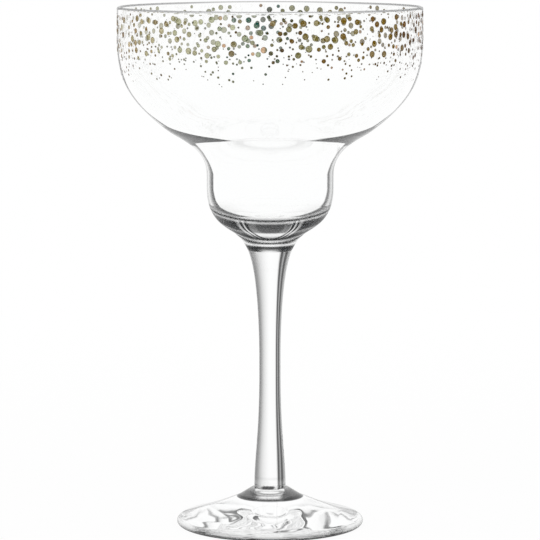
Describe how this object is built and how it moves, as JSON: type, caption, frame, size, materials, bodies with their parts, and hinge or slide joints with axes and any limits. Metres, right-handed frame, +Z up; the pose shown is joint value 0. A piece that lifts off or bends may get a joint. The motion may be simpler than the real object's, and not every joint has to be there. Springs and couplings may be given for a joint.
{
  "type": "margarita glass",
  "caption": "Clear stemmed cocktail glass: a wide upper bowl drops into a narrow heavy-based cup, on a drawn stem and low conical foot, with a band of lustre dots under the rim.",
  "frame": {"origin": "on the table, under the middle of the foot", "axes": "+Z up along the axis of the glass; -Y towards the side that the picture shows"},
  "size_m": [0.1132, 0.1132, 0.194],
  "materials": {
    "clear_glass": "clear fire-polished soda-lime glass",
    "lustre": "glossy fired-on bronze and green lustre, thin enough to let some light through"
  },
  "bodies": {
    "root": {"foot": "clear_glass", "stem": "clear_glass", "bowl": "clear_glass", "large_dots": "lustre", "medium_dots": "lustre", "small_dots": "lustre", "fine_dots": "lustre"}
  },
  "joints": []
}
